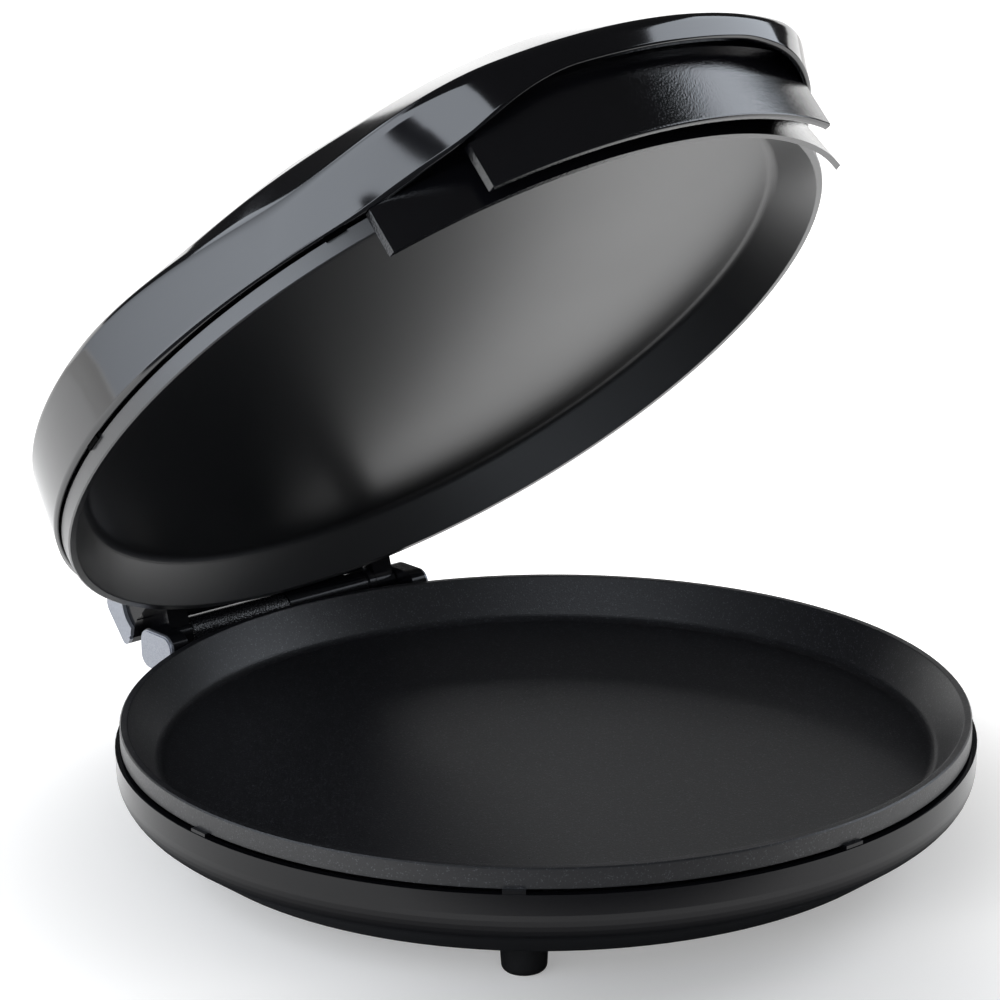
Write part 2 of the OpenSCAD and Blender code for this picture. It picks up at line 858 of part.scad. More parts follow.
function cover_corners(a, t) =
    let (
        edge = weight(a, edge_full_a, edge_none_a),
        arch = weight(a, arch_full_a, arch_none_a),
        brow = weight(a, brow_full_a, brow_none_a),
        drop = weight(a, drop_full_a, drop_none_a),
        ramp = weight(a, ramp_full_a, ramp_none_a),
        rise = weight(a, rise_full_a, rise_none_a),
        lift = weight(a, lift_full_a, lift_none_a)
    )
    [
        [cover_r + hood_reach * edge - t, cover_edge_h + arch_rise * arch],
        [cover_r - wall_lean + brow_reach * brow - t, wall_top_h - brow_drop * drop - t * 0.8],
        [cover_r - ramp_in + ramp_reach * ramp - t * 0.3, lid_h - ramp_drop + ramp_rise * rise - t],
        [dome_start_r, lid_h - dome_start_drop + hood_lift * lift - t]
    ];
function cover_section(a, t) =
    let (
        p = cover_corners(a, t),
        brow = weight(a, brow_full_a, brow_none_a),
        top = lid_h - t
    )
    concat(
        [p[0]],
        bend(p[0], p[1], p[2], 6 - 3 * brow, 4),
        bend(p[1], p[2], p[3], 3 + 4 * brow, 3),
        [for (f = [1, 0.72, 0.45, 0.2]) [p[3][0] * f, top - (top - p[3][1]) * f * f]]
    );

coarse_step = 6;
fine_step = 2;
hood_half_a = 86;
cover_angles = concat(
    [for (a = [-180:coarse_step:-hood_half_a - fine_step]) a],
    [for (a = [-hood_half_a:fine_step:hood_half_a]) a],
    [for (a = [hood_half_a + 4:coarse_step:180 - fine_step]) a]
);
module cover_shell() {
    loops = [for (a = cover_angles)
        let (section = concat(cover_section(a, 0), reversed(cover_section(a, cover_t))))
        [for (p = section) [p[0] * sin(a), -p[0] * cos(a), p[1]]]];
    n = len(loops);
    m = len(loops[0]);
    half = m / 2;
    poles = [[0, 0, lid_h], [0, 0, lid_h - cover_t]];
    function at(i, j) = (i % n) * m + (j % m);
    polyhedron(
        points = concat([for (loop = loops) for (p = loop) p], poles),
        faces = concat(
            [for (i = [0:n - 1]) for (j = [0:m - 1]) if (j != half - 1)
                each [
                    [at(i, j), at(i, j + 1), at(i + 1, j + 1)],
                    [at(i, j), at(i + 1, j + 1), at(i + 1, j)]
                ]],
            [for (i = [0:n - 1]) [at(i, half - 1), n * m, at(i + 1, half - 1)]],
            [for (i = [0:n - 1]) [at(i, half), at(i + 1, half), n * m + 1]]
        ),
        convexity = 6
    );
}

function lamp_x(side) = side * lamp_pitch / 2;
module lid_cover() {
    color([0.04, 0.04, 0.045]) in_lid()
        difference() {
            cover_shell();
            for (side = [-1, 1])
                translate([lamp_x(side), -lamp_y, lid_h - 20])
                    cylinder(r = lens_r + 0.15, h = 30);
            every_wall_screw()
                translate([0, 0, -1]) cylinder(r = wall_screw_r + seat_gap, h = cover_t + 3, $fn = 32);
        }
}

// Angle from the front within which the hood's inside clears a radius
function smooth_inverse(y) = 0.5 - sin(asin(1 - 2 * min(1, y)) / 3);
function hood_clear_a(r) =
    edge_none_a
    - (edge_none_a - edge_full_a) * smooth_inverse((r + loose_gap + cover_t - cover_r) / hood_reach);

// Height of the cover's underside at an angle and a radius, from its brow up its ramp
function hood_roof_h(a, r) =
    let (p = cover_corners(a, cover_t))
    p[1][1] + (p[2][1] - p[1][1]) * (p[1][0] - r) / (p[1][0] - p[2][0]);

// Radius of the cover's inside at an angle and a height, on its wall or its ramp
function cover_in_r(a, h) =
    let (p = cover_corners(a, cover_t), i = h < p[1][1] ? 0 : 1)
    p[i][0] + (p[i + 1][0] - p[i][0]) * (h - p[i][1]) / (p[i + 1][1] - p[i][1]);

// Grip lip: curved plate under the hood, with a foot along its top
grip_r = plate_r + grip_out;
grip_out_r = grip_r + grip_t;
grip_root_h = cover_edge_h - loose_gap;
grip_top_h = cover_edge_h + 13;
grip_foot_t = 3;
grip_foot_out = (cover_r + hood_reach - cover_t - grip_out_r) / 3;
grip_foot_back_a = 5;
grip_edge_round = 1;
grip_step = 0.2;
grip_rib_t = 3;
grip_rib_angles = [-16, 0, 16];
module grip_lip() {
    color([0.05, 0.05, 0.055]) in_lid() {
        // the part that shows, with both lower edges rounded
        front_arc(grip_half_a)
            polygon(concat(
                corner([grip_r, 0], [grip_r, -grip_drop], [grip_out_r, -grip_drop], grip_edge_round, 3),
                corner([grip_r, -grip_drop], [grip_out_r, -grip_drop], [grip_out_r, 0], grip_edge_round, 3),
                [[grip_out_r, grip_root_h], [grip_r, grip_root_h]]
            ));
        // the thinner part inside the hood, and its foot
        front_arc(min(grip_half_a - 1, hood_clear_a(grip_out_r)))
            translate([grip_r + grip_step, grip_root_h - 1])
                square([grip_t - 2 * grip_step, grip_top_h - grip_root_h]);
        front_arc(min(grip_half_a - grip_foot_back_a, hood_clear_a(grip_out_r + grip_foot_out)))
            translate([grip_r + 2 * grip_step, grip_top_h - grip_foot_t])
                square([grip_t + grip_foot_out - 2 * grip_step, grip_foot_t]);
        // ribs that carry the lip under the roof of the hood
        for (a = grip_rib_angles)
            at_angle(a) translate([grip_r + 3 * grip_step, -grip_rib_t / 2, grip_top_h - 1])
                cube([
                    grip_t - 4 * grip_step,
                    grip_rib_t,
                    hood_roof_h(abs(a) + 1, grip_out_r) - loose_gap - grip_top_h + 1
                ]);
    }
}

// Finger guard: skirt in front of the plates' bands that steps in over the upper
// plate's band and carries on as a wall behind the hood
guard_flare = 2.4;
guard_in_r = plate_r + 0.7;
guard_step_h = upper_band_h + 0.3;
guard_step_top_h = cover_edge_h - 0.3;
guard_wall_r = cover_r - 3.2;
guard_top_drop = 8.5;
guard_top_h = wall_top_h - guard_top_drop;
module finger_guard() {
    color([0.05, 0.05, 0.055]) in_lid()
        front_arc(guard_half_a)
            polygon([
                [guard_in_r + guard_flare, -guard_drop],
                [guard_in_r + guard_flare + guard_t, -guard_drop],
                [guard_in_r + guard_t, guard_step_top_h],
                [guard_wall_r, guard_step_top_h],
                [guard_wall_r, guard_top_h],
                [guard_wall_r - guard_t, guard_top_h],
                [guard_wall_r - guard_t, guard_step_h],
                [guard_in_r, guard_step_h]
            ]);
}

// Frame of the lid: a steel ring on the plate's bosses that reaches to the wall
frame_t = 1.2;
frame_land = 12;
frame_in_r = boss_pitch_r - frame_land;
frame_gap = 2.2;
module lid_frame() {
    z = upper_back_h + upper_boss_l;
    frame_r = min([for (a = [0:5:180]) cover_in_r(a, z + frame_t)]) - frame_gap;
    color([0.66, 0.67, 0.68]) in_lid()
        translate([0, 0, z])
            difference() {
                cylinder(r = min(frame_r, guard_wall_r - guard_t - loose_gap), h = frame_t, $fn = 180);
                translate([0, 0, -1]) cylinder(r = frame_in_r, h = 4, $fn = 120);
                for (a = plate_boss_angles)
                    at_angle(a) translate([boss_pitch_r, 0, -1])
                        cylinder(r = screw_r + 0.2, h = 4, $fn = 32);
            }
}

// Lamps: two lenses in the front of the dome and the holder under them
lens_proud = 0.8;
lens_l = 8;
holder_t = 2;
holder_wall = 1.5;
holder_margin = 7;
lamp_h = lid_h
    - (dome_start_drop - hood_lift) * pow(norm([lamp_pitch / 2, lamp_y]) / dome_start_r, 2);
module lens(side) {
    in_lid() translate([lamp_x(side), -lamp_y, lamp_h + lens_proud]) {
        translate([0, 0, -lens_l]) cylinder(r = lens_r, h = lens_l);
        translate([0, 0, -eps])
            intersection() {
                translate([0, 0, -lens_r * 1.2]) sphere(r = lens_r * 1.5625);
                cylinder(r = lens_r, h = 4);
            }
    }
}
module power_lamp_lens() {
    color([0.75, 0.06, 0.04]) lens(-1);
}
module ready_lamp_lens() {
    color([0.1, 0.6, 0.15]) lens(1);
}
module lamp_holder() {
    low_h = upper_back_h + upper_boss_l + frame_t;
    color([0.85, 0.84, 0.8]) in_lid()
        translate([0, -lamp_y, low_h])
            difference() {
                union() {
                    translate([-lamp_pitch / 2 - holder_margin, -lens_r - holder_t, 0])
                        cube([lamp_pitch + 2 * holder_margin, 2 * (lens_r + holder_t), holder_t]);
                    for (side = [-1, 1])
                        translate([lamp_x(side), 0, 0])
                            cylinder(
                                r = lens_r + holder_wall,
                                h = lamp_h + lens_proud - lens_l - low_h
                            );
                }
                for (side = [-1, 1])
                    translate([lamp_x(side), 0, 1])
                        cylinder(r = lens_r - 1, h = lid_h);
            }
}

base_housing();
bottom_cover();
foot(-1, -1);  // foot_front_left
foot(1, -1);  // foot_front_right
foot(-1, 1);  // foot_rear_left
foot(1, 1);  // foot_rear_right
lower_baking_plate();
lower_heating_element();
lower_element_clips();
lower_reflector();
lower_plate_screws();
bottom_cover_screws();
thermostat();
thermal_fuse();
terminal_block();
cord_gland();
hinge_pin_left();
hinge_pin_right();
base_hinge_cap_left();
base_hinge_cap_right();
wire_guard_base();
lid_cover();
grip_lip();
finger_guard();
upper_baking_plate();
upper_heating_element();
upper_element_clips();
upper_reflector();
lid_frame();
upper_plate_screws();
lid_bracket_left();
lid_bracket_right();
bracket_screws();
lid_hinge_cap_left();
lid_hinge_cap_right();
wire_guard_lid();
power_lamp_lens();
ready_lamp_lens();
lamp_holder();
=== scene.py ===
import math

import bmesh
import bpy
import numpy as np
from mathutils import Matrix, Vector


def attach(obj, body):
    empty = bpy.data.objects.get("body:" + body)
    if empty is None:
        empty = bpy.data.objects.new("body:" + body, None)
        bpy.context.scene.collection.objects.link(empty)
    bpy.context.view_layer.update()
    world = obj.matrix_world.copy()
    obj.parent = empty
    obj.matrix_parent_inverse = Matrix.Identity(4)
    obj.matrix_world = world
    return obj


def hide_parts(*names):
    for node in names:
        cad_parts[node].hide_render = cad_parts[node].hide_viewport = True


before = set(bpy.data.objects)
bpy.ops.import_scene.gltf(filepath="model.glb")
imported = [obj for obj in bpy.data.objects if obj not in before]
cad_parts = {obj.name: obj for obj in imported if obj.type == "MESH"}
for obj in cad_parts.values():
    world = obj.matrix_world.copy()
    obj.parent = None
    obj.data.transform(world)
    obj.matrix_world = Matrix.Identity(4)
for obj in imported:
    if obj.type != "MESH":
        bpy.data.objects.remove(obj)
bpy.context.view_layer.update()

# Camera
# A long lens from the front left, a little above the rims. It aims past the middle of
# the lower rim, at the place where that point lies in the picture.
view_azimuth = math.radians(-40.399)
view_elevation = math.radians(16.667)
view_roll = math.radians(-0.669)
focal_px = 3500.0
picture_px = 1000.0
sensor_mm = 36.0
target = Vector((0, 0, 0.055))
target_px = (545.101, 704.053)
distance = 1.32144
scene = bpy.context.scene


def add(name, data):
    """A new object in the scene with this mesh, lamp or camera, left at the origin."""
    made = bpy.data.objects.new(name, data)
    scene.collection.objects.link(made)
    return made


back = Vector((
    math.sin(view_azimuth) * math.cos(view_elevation),
    -math.cos(view_azimuth) * math.cos(view_elevation),
    math.sin(view_elevation),
))
level_right = Vector((math.cos(view_azimuth), math.sin(view_azimuth), 0))
level_up = level_right.cross(-back)
right = level_right * math.cos(view_roll) + level_up * math.sin(view_roll)
up = level_up * math.cos(view_roll) - level_right * math.sin(view_roll)
shift_right = (target_px[0] - picture_px / 2) * distance / focal_px
shift_up = (picture_px / 2 - target_px[1]) * distance / focal_px
camera_data = bpy.data.cameras.new("camera")
camera_data.sensor_width = sensor_mm
camera_data.lens = focal_px / picture_px * sensor_mm
camera_data.clip_start = 0.05
camera_data.clip_end = 20
camera = add("camera", camera_data)
axes = Matrix((right, up, back)).transposed().to_4x4()
axes.translation = target + back * distance - right * shift_right - up * shift_up
camera.matrix_world = axes
scene.camera = camera

# World and lamp
# A plain soft studio: an even fill that the camera sees as white and shiny pieces see as nearly
# black, and one large soft box at the right.
scene.view_settings.view_transform = "Standard"


class Wire:
    """A socket of a shader, so that maths on it adds the nodes that work it out."""

    def __init__(self, tree, socket):
        self.tree = tree
        self.socket = socket

    def _maths(self, operation, first, second):
        return node(self.tree, "ShaderNodeMath", {"operation": operation}, [first, second])

    def __add__(self, other):
        return self._maths("ADD", self, other)

    __radd__ = __add__

    def __mul__(self, other):
        return self._maths("MULTIPLY", self, other)

    __rmul__ = __mul__

    def __sub__(self, other):
        return self._maths("SUBTRACT", self, other)

    def __rsub__(self, other):
        return self._maths("SUBTRACT", other, self)

    def at_least(self, other):
        return self._maths("MAXIMUM", self, other)

    def clamp(self):
        return node(self.tree, "ShaderNodeClamp", {}, [self])

    def out(self, name):
        return Wire(self.tree, self.socket.node.outputs[name])


def node(tree, kind, settings, values):
    """Adds one node: its settings first, then its sockets from a list or a dict."""
    made = tree.nodes.new(kind)
    for name, value in settings.items():
        if name == "stops":
            ramp = made.color_ramp
            while len(ramp.elements) < len(value):
                ramp.elements.new(0.5)
            for element, (position, colour) in zip(ramp.elements, value):
                element.position = position
                element.color = (*colour, 1)
        else:
            setattr(made, name, value)
    pairs = values.items() if isinstance(values, dict) else enumerate(values)
    for name, value in pairs:
        socket = made.inputs[name]
        if isinstance(value, Wire):
            tree.links.new(value.socket, socket)
        elif hasattr(value, "__len__") and len(value) == 3 and socket.type == "RGBA":
            socket.default_value = (*value, 1)
        else:
            socket.default_value = value
    shown = [o for o in made.outputs if o.enabled]
    return Wire(tree, shown[0]) if shown else None


def ray_masks(tree):
    """Two masks: 1 where the camera looks, and 1 where a shiny or clear surface does."""
    path = node(tree, "ShaderNodeLightPath", {}, [])
    shiny = path.out("Is Glossy Ray").at_least(path.out("Is Transmission Ray"))
    return path.out("Is Camera Ray"), shiny


world = bpy.data.worlds.new("studio")
scene.world = world
world.use_nodes = True
tree = world.node_tree
tree.nodes.clear()
fill_strength = 0.3
gloss_fill = 0.04
seen, shiny = ray_masks(tree)
strength = (shiny * (gloss_fill - fill_strength) + fill_strength).at_least(seen)
sky = node(tree, "ShaderNodeBackground", {}, {"Color": (1, 1, 1), "Strength": strength})
node(tree, "ShaderNodeOutputWorld", {}, {"Surface": sky})

cool_white = (0.85, 0.91, 1.0)
lamp_turn, lamp_rise = math.radians(70), math.radians(30)
lamp_aim = Vector((0, 0, 0.2))
lamp_distance = 1.8
lamp_w, lamp_h = 1.45, 0.96
lamp_radiance = 2.9
lamp_place = lamp_aim + lamp_distance * Vector((
    math.sin(lamp_turn) * math.cos(lamp_rise),
    -math.cos(lamp_turn) * math.cos(lamp_rise),
    math.sin(lamp_rise),
))
lamp_data = bpy.data.lights.new("lamp_right", "AREA")
lamp_data.shape = "RECTANGLE"
lamp_data.size, lamp_data.size_y = lamp_w, lamp_h
lamp_data.energy = lamp_radiance * math.pi * lamp_w * lamp_h
lamp_data.color = cool_white
lamp = add("lamp_right", lamp_data)
lamp.visible_camera = False
lamp_facing = (lamp_aim - lamp_place).to_track_quat("-Z", "Y")
lamp.matrix_world = Matrix.Translation(lamp_place) @ lamp_facing.to_matrix().to_4x4()

# Left light wall
# A long translucent screen, lit from behind, from behind the left side round to the front. It
# dims towards its rear end, and a round port is cut in it for the lens.
def blank_material(name):
    """A new material and its tree, which is empty."""
    made = bpy.data.materials.new(name)
    made.use_nodes = True
    made.node_tree.nodes.clear()
    return made, made.node_tree


def upright_sheet(name, turns, radius, low, tops):
    """A sheet bent round the object, part of an upright cylinder from one turn to another.

    Its top edge runs straight from the first height to the second. The turns are in degrees
    from the front."""
    count = 61
    angle = np.radians(np.linspace(*turns, count))
    across, along = radius * np.sin(angle), -radius * np.cos(angle)
    foot = np.stack([across, along, np.full_like(angle, low)])
    head = np.stack([across, along, np.linspace(*tops, count)])
    index = np.arange(count - 1)
    faces = np.stack([index, index + 1, index + 1 + count, index + count], axis=1)
    mesh = bpy.data.meshes.new(name)
    mesh.from_pydata(np.stack([foot, head], axis=1).reshape(3, -1).T, [], faces.tolist())
    sheet = add(name, mesh)
    sheet.visible_shadow = False
    made, tree = blank_material(name)
    mesh.materials.append(made)
    return sheet, tree


def glow(tree, colour, strength):
    """Ends a material in plain light of this colour and strength."""
    light = node(tree, "ShaderNodeEmission", {}, {"Color": colour, "Strength": strength})
    node(tree, "ShaderNodeOutputMaterial", {}, {"Surface": light})


def vector_maths(operation, first, *second):
    """Vector maths on a place. A length, distance or dot product comes out as a number."""
    made = node(first.tree, "ShaderNodeVectorMath", {"operation": operation}, [first, *second])
    is_number = operation in ("LENGTH", "DISTANCE", "DOT_PRODUCT")
    return made.out("Value" if is_number else "Vector")


wall_turns = (-152, -26)
wall_even_turn = -112
wall_rear_share = 0.36
wall_r = 1.7
wall_foot = 0.15
wall_tops = (2.4, 1.4)
wall_radiance = 2.8
port_place = (-1.46, -0.87, 0.44)
port_r = 0.145
light_wall, tree = upright_sheet("light_wall", wall_turns, wall_r, wall_foot, wall_tops)
light_wall.visible_camera = False
place = node(tree, "ShaderNodeTexCoord", {}, []).out("Object")
part = node(tree, "ShaderNodeSeparateXYZ", {}, [place])
turn = node(tree, "ShaderNodeMath", {"operation": "ARCTAN2"}, [part, 0 - part.out("Y")])
even = node(tree, "ShaderNodeMapRange", {}, {
    "Value": turn,
    "From Min": math.radians(wall_turns[0]),
    "From Max": math.radians(wall_even_turn),
    "To Min": wall_rear_share,
    "To Max": 1,
})
screen = node(tree, "ShaderNodeMapRange", {}, {
    "Value": vector_maths("DISTANCE", place, port_place),
    "From Min": port_r * 0.9,
    "From Max": port_r * 1.15,
})
glow(tree, cool_white, wall_radiance * even * screen)

# Rear light
# A short raised screen that carries the light wall on behind the object.
rear_end_turn = -178
rear_foot, rear_top = 1.25, 1.75
rear_radiance = 2.3
rear_light, tree = upright_sheet(
    "rear_light", (rear_end_turn, wall_turns[0]), wall_r, rear_foot, (rear_top, rear_top))
rear_light.visible_camera = False
glow(tree, cool_white, rear_radiance)

# Backdrop
# A low white screen that stands in a half circle behind the table, with a higher end at the
# right. It shows to the camera and in what is shiny, and adds no light of its own.
backdrop_r = 5.0
backdrop_gloss = 1.8
for name, turns, top in (
    ("backdrop", (126, 255), 1.0),
    ("backdrop_side", (104, 126), 1.6),
):
    backdrop, tree = upright_sheet(name, turns, backdrop_r, 0, (top, top))
    backdrop.visible_diffuse = False
    seen, shiny = ray_masks(tree)
    glow(tree, (1, 1, 1), seen + backdrop_gloss * shiny)

# Floor
# A plain white table that fades out to white and takes a soft shadow from the lamps. Its glow to
# the camera is painted weaker near the object and in front of it, a painted shadow. Shiny pieces
# see it as white behind and beside the object, and as a painted shade, dark grey, under it and in
# front, where the lens stands.
def blend(share, first, second):
    """The first colour where share is 0 and the second where it is 1."""
    return node(share.tree, "ShaderNodeMix", {"data_type": "RGBA"}, {0: share, 6: first, 7: second})


def fade(value, start, end):
    """A smooth step from 0 where the value is at start to 1 where it is at end."""
    return node(value.tree, "ShaderNodeMapRange", {"interpolation_type": "SMOOTHSTEP"}, {
        "Value": value, "From Min": start, "From Max": end})


floor_half = 6.0
floor_z = -0.0002
floor_gloss = 0.8
front_glow, far_glow = 0.3, 0.7
floor_mesh = bpy.data.meshes.new("floor")
floor_mesh.from_pydata(
    [(-floor_half, -floor_half, floor_z), (floor_half, -floor_half, floor_z),
     (floor_half, floor_half, floor_z), (-floor_half, floor_half, floor_z)],
    [], [(0, 1, 2, 3)],
)
floor = add("floor", floor_mesh)
floor_white, tree = blank_material("floor_white")
seen, shiny = ray_masks(tree)
place = node(tree, "ShaderNodeTexCoord", {}, []).out("Object")
reach = vector_maths("LENGTH", place)
ahead = vector_maths("DOT_PRODUCT", place, (-0.5, -0.866, 0))
# Painted shadow: the glow that the camera sees fades out near the object and in front of it.
floor_glow_with_painted_shadow = front_glow * (1 - fade(ahead, 0.1, 0.2)) + far_glow * fade(reach, 0.14, 0.34)
# Painted shade in reflections: near the object and in front of it, shiny pieces see the floor as
# dark grey instead of white glow.
clear_of_reflected_painted_shade = fade(reach, 0.15, 0.22) * (1 - fade(ahead, 0.2, 0.28))
white = node(tree, "ShaderNodeBsdfDiffuse", {}, {
    "Color": blend(shiny * (1 - clear_of_reflected_painted_shade), (0.82, 0.79, 0.75), (0.08, 0.08, 0.08))})
light = node(tree, "ShaderNodeEmission", {}, {
    "Color": (1, 1, 1), "Strength": seen * floor_glow_with_painted_shadow + floor_gloss * shiny * clear_of_reflected_painted_shade})
both = node(tree, "ShaderNodeAddShader", {}, [white, light])
node(tree, "ShaderNodeOutputMaterial", {}, {"Surface": both})
floor_mesh.materials.append(floor_white)

# Base housing and cord gland
# The moulded bowl that carries the lower half, with the two ears of the hinge at its back, and
# the grommet in its rear wall. Satin black plastic with the fine grain of its mould.
def start(name):
    """A blank material, its tree, and the place on the object in metres."""
    made, tree = blank_material(name)
    return made, tree, node(tree, "ShaderNodeTexCoord", {}, []).out("Object")


def lumps(place, scale, detail=2.0):
    """Soft noise from 0 to 1 with so many lumps to the metre."""
    return node(place.tree, "ShaderNodeTexNoise", {}, {
        "Vector": place, "Scale": scale, "Detail": detail})


def relief(height, depth):
    """A normal for a skin whose height runs from 0 to 1 over a depth in metres."""
    return node(height.tree, "ShaderNodeBump", {}, {"Height": height, "Distance": depth})


def surface(tree, values):
    """Ends a material in a Principled shader with these sockets."""
    shader = node(tree, "ShaderNodeBsdfPrincipled", {}, values)
    node(tree, "ShaderNodeOutputMaterial", {}, {"Surface": shader})


def dress(made, *names):
    """Gives the material to the CAD nodes of these names."""
    for name in names:
        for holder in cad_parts[name].material_slots:
            holder.material = made


satin_black, tree, place = start("satin_black")
grain = lumps(place, 2400)
drift = lumps(place, 28)
surface(tree, {
    "Base Color": blend(grain, (0.0015, 0.0015, 0.002), (0.004, 0.004, 0.005)),
    "Roughness": 0.12 + 0.05 * drift + 0.05 * grain,
    "Specular IOR Level": 0.3,
    "Normal": relief(grain, 8e-6),
})
dress(satin_black, "base_housing", "cord_gland")

# Bottom cover
# The flat disc that closes the housing from below. Pressed steel with a black powder coat,
# held by screws.
powder_black, tree, place = start("cover_sheet")
peel = lumps(place, 900, 3.0)
surface(tree, {
    "Base Color": blend(peel, (0.012, 0.012, 0.012), (0.026, 0.026, 0.027)),
    "Roughness": 0.42 + 0.16 * peel,
    "Normal": relief(peel, 4e-5),
})
dress(powder_black, "bottom_cover")

# Feet
# Four soft rubber buttons pushed into the bosses under the housing, matt and a little dusty.
rubber, tree, place = start("rubber_foot")
pores = lumps(place, 1500, 4.0)
dust = lumps(place, 90)
surface(tree, {
    "Base Color": blend(dust, (0.002, 0.002, 0.002), (0.007, 0.007, 0.007)),
    "Roughness": 0.55 + 0.25 * pores,
    "Specular IOR Level": 0.25,
    "Normal": relief(pores, 3e-5),
})
dress(rubber, "foot_front_left", "foot_front_right", "foot_rear_left", "foot_rear_right")

# Lower baking plate
# The round pan of the base, cast in aluminium. Its non-stick coat is charcoal, with a fine
# sprayed grain and tiny mineral flecks that catch the light.
def flakes(place, scale, channel):
    """One random value from 0 to 1 for each cell, so many to the metre."""
    colour = node(place.tree, "ShaderNodeTexVoronoi", {}, {
        "Vector": place, "Scale": scale}).out("Color")
    return node(place.tree, "ShaderNodeSeparateColor", {}, [colour]).out(channel)


nonstick_lower, tree, place = start("nonstick_lower")
spray = lumps(place, 1500, 3.0)
bright = ((flakes(place, 2400, "Red") - 0.9) * 12).clamp()
surface(tree, {
    "Base Color": blend(bright, (0.006, 0.006, 0.007), (0.04, 0.04, 0.044)),
    "Roughness": 0.34 + 0.1 * spray - 0.1 * bright,
    "Specular IOR Level": 0.6,
    "Normal": relief(spray, 7e-5),
})
dress(nonstick_lower, "lower_baking_plate")

# Heating elements
# Two bent tubes of stainless steel, pressed against the backs of the plates. Heat has tinted
# their mantle straw and blue.
element_steel, tree, place = start("element_steel")
heat = lumps(place, 35, 3.0)
scale_skin = lumps(place, 1800)
tint = node(tree, "ShaderNodeValToRGB", {"stops": [
    (0.3, (0.11, 0.1, 0.1)), (0.45, (0.2, 0.17, 0.13)),
    (0.55, (0.16, 0.15, 0.17)), (0.7, (0.26, 0.25, 0.24)),
]}, [heat])
surface(tree, {
    "Base Color": tint,
    "Metallic": 1,
    "Roughness": 0.34 + 0.2 * scale_skin,
    "Normal": relief(scale_skin, 1e-5),
})
dress(element_steel, "lower_heating_element", "upper_heating_element")

# Clips, screws and pins
# Small fixings of bright zinc-plated steel: spring clips and screws for the elements and
# plates, screws for the cover and brackets, and the two hinge pins.
steel, tree, place = start("steel")
drawn = node(tree, "ShaderNodeMapping", {}, {"Vector": place, "Scale": (0.05, 1, 1)})
scratch = lumps(drawn, 3000, 3.0)
haze = lumps(place, 260)
surface(tree, {
    "Base Color": blend(haze, (0.5, 0.5, 0.51), (0.66, 0.66, 0.67)),
    "Metallic": 1,
    "Roughness": 0.22 + 0.16 * scratch,
    "Normal": relief(scratch, 4e-6),
})
dress(steel, "lower_element_clips", "upper_element_clips", "lower_plate_screws",
      "upper_plate_screws", "bottom_cover_screws", "bracket_screws",
      "hinge_pin_left", "hinge_pin_right")

# Reflectors and lid frame
# Thin aluminised sheet: a dish behind each element and the flat ring that holds the upper
# one in the lid. The metal shows the spangle of its hot dip.
sheet_metal, tree, place = start("sheet")
spangle = flakes(place, 160, "Green")
rolled = lumps(place, 1200)
surface(tree, {
    "Base Color": blend(spangle, (0.52, 0.53, 0.54), (0.68, 0.69, 0.7)),
    "Metallic": 1,
    "Roughness": 0.26 + 0.14 * spangle + 0.06 * rolled,
    "Normal": relief(rolled, 4e-6),
})
dress(sheet_metal, "lower_reflector", "upper_reflector", "lid_frame")

# Thermostat, fuse, terminal block and lamp holder
# The electrical parts inside, of fired ceramic and pale moulding: cream, with small dark
# specks from the kiln.
def cells(place, scale):
    """The distance from the middle of the nearest of so many cells to the metre."""
    return node(place.tree, "ShaderNodeTexVoronoi", {}, {"Vector": place, "Scale": scale})


ceramic, tree, place = start("ceramic")
speck = ((0.16 - cells(place, 420)) * 9).clamp()
body_tone = lumps(place, 120)
glaze = blend(body_tone, (0.66, 0.63, 0.56), (0.76, 0.74, 0.68))
surface(tree, {
    "Base Color": blend(speck, glaze, (0.3, 0.27, 0.22)),
    "Roughness": 0.5 + 0.2 * body_tone,
    "Normal": relief(body_tone, 2e-5),
})
dress(ceramic, "thermostat", "thermal_fuse", "terminal_block", "lamp_holder")

# Hinge caps
# Four shields that close the hinge from outside, two on the housing's ears and two on the
# lid's brackets. Moulded plastic with a fine metallic silver lacquer.
silver, tree, place = start("silver_trim")
flake = flakes(place, 4200, "Blue")
mist = lumps(place, 60)
surface(tree, {
    "Base Color": blend(flake, (0.24, 0.25, 0.28), (0.36, 0.375, 0.41)),
    "Metallic": 0.7,
    "Roughness": 0.3 + 0.08 * flake + 0.05 * mist,
    "Normal": relief(flake, 3e-6),
})
dress(silver, "base_hinge_cap_left", "base_hinge_cap_right",
      "lid_hinge_cap_left", "lid_hinge_cap_right")

# Wire guard
# The two half tubes between the hinge ears that hide the leads of the upper element. Satin
# black plastic: the base's half has a leather grain, the lid's half is smooth.
leather_black, tree, place = start("leather_black")
hide = cells(place, 1500)
crease = lumps(place, 900, 3.0)
surface(tree, {
    "Base Color": blend(hide.clamp(), (0.002, 0.002, 0.0025), (0.007, 0.007, 0.008)),
    "Roughness": 0.2 + 0.12 * hide.clamp(),
    "Specular IOR Level": 0.9,
    "Normal": relief(hide + crease, 1.2e-4),
})
dress(leather_black, "wire_guard_base")
dress(satin_black, "wire_guard_lid")

# Lid cover
# The moulded top shell of the lid: a wall, a shallow dome and, at the front, a hood that
# swells out over the grip. One piece of high-gloss plastic with a wall of 2.6 mm.
hinge_y = 0.1665
hinge_z = 0.0524
rim_z = 0.0556
lid_open = math.radians(44.9)
cover_r = 0.1618
cover_t = 0.0026
lid_h = 0.054


def opened(points):
    """Turns points of the closed lid about the hinge line to where the opened lid has them."""
    x, y, h = points
    y, z = y - hinge_y, h + rim_z - hinge_z
    cos, sin = math.cos(lid_open), math.sin(lid_open)
    return np.stack([x, hinge_y + y * cos + z * sin, hinge_z - y * sin + z * cos])


def weight(angle, full, none):
    """One within the angle full, nought past the angle none, and a smooth step between."""
    c = np.clip((none - np.abs(angle)) / (none - full), 0, 1)
    return c * c * (3 - 2 * c)


